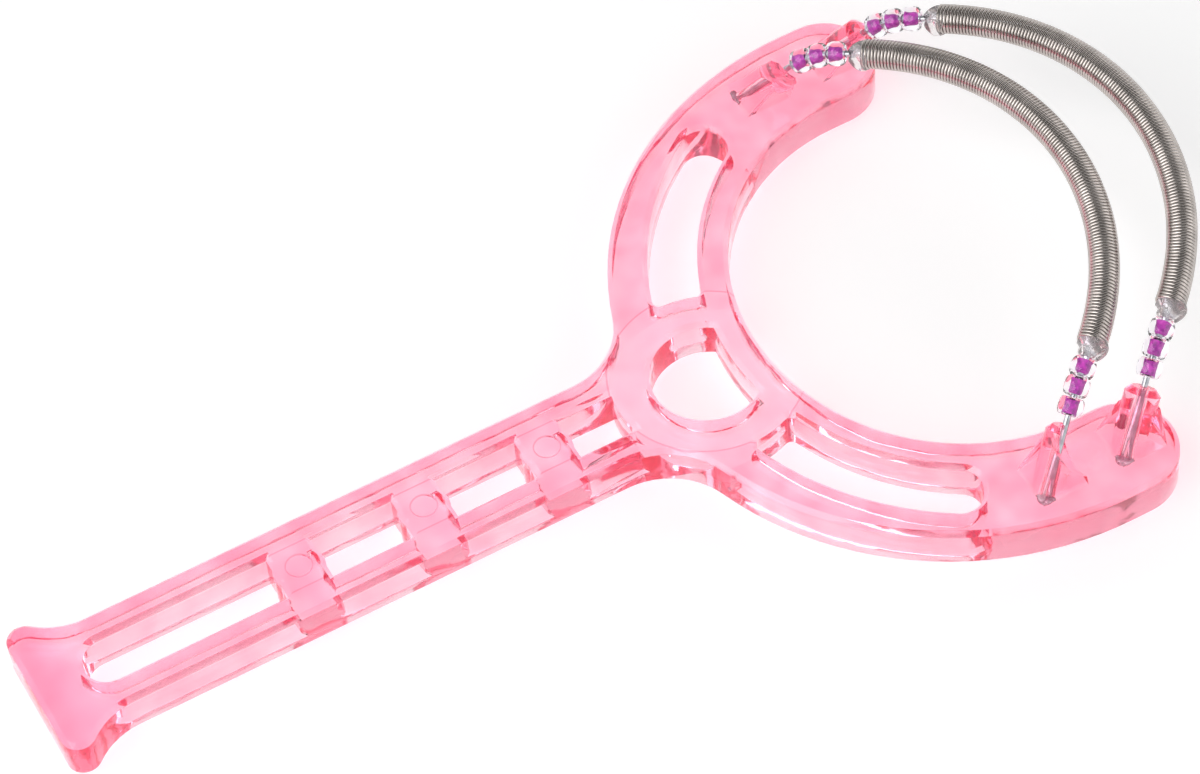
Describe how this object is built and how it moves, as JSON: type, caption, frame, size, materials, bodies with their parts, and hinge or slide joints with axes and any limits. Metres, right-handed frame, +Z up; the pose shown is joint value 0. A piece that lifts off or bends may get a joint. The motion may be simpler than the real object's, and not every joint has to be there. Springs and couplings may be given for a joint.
{
  "type": "facial hair removal spring",
  "caption": "Facial hair remover with bowed coil springs on beaded wires, held by a clear pink frame with a ring and a slotted handle.",
  "frame": {"origin": "centre of the ring at the frame's underside", "axes": "+X from the ring to the springs, +Y to the left tip, +Z up from the table that the frame lies on"},
  "size_m": [0.1703, 0.094, 0.0222],
  "materials": {
    "pink_plastic": "transparent pink, glossy, moulded",
    "spring_steel": "bright drawn wire, close-wound",
    "wire_steel": "bright drawn wire",
    "clear_cap": "clear, glossy",
    "lined_bead": "clear glass with a purple lining"
  },
  "bodies": {
    "root": {"frame": "pink_plastic", "core_wire_inner": "wire_steel", "spring_inner": "spring_steel", "end_cap_inner_left": "clear_cap", "bead_inner_left_1": "lined_bead", "bead_inner_left_2": "lined_bead", "bead_inner_left_3": "lined_bead", "end_cap_inner_right": "clear_cap", "bead_inner_right_1": "lined_bead", "bead_inner_right_2": "lined_bead", "bead_inner_right_3": "lined_bead", "core_wire_outer": "wire_steel", "spring_outer": "spring_steel", "end_cap_outer_left": "clear_cap", "bead_outer_left_1": "lined_bead", "bead_outer_left_2": "lined_bead", "bead_outer_left_3": "lined_bead", "end_cap_outer_right": "clear_cap", "bead_outer_right_1": "lined_bead", "bead_outer_right_2": "lined_bead", "bead_outer_right_3": "lined_bead"}
  },
  "joints": []
}
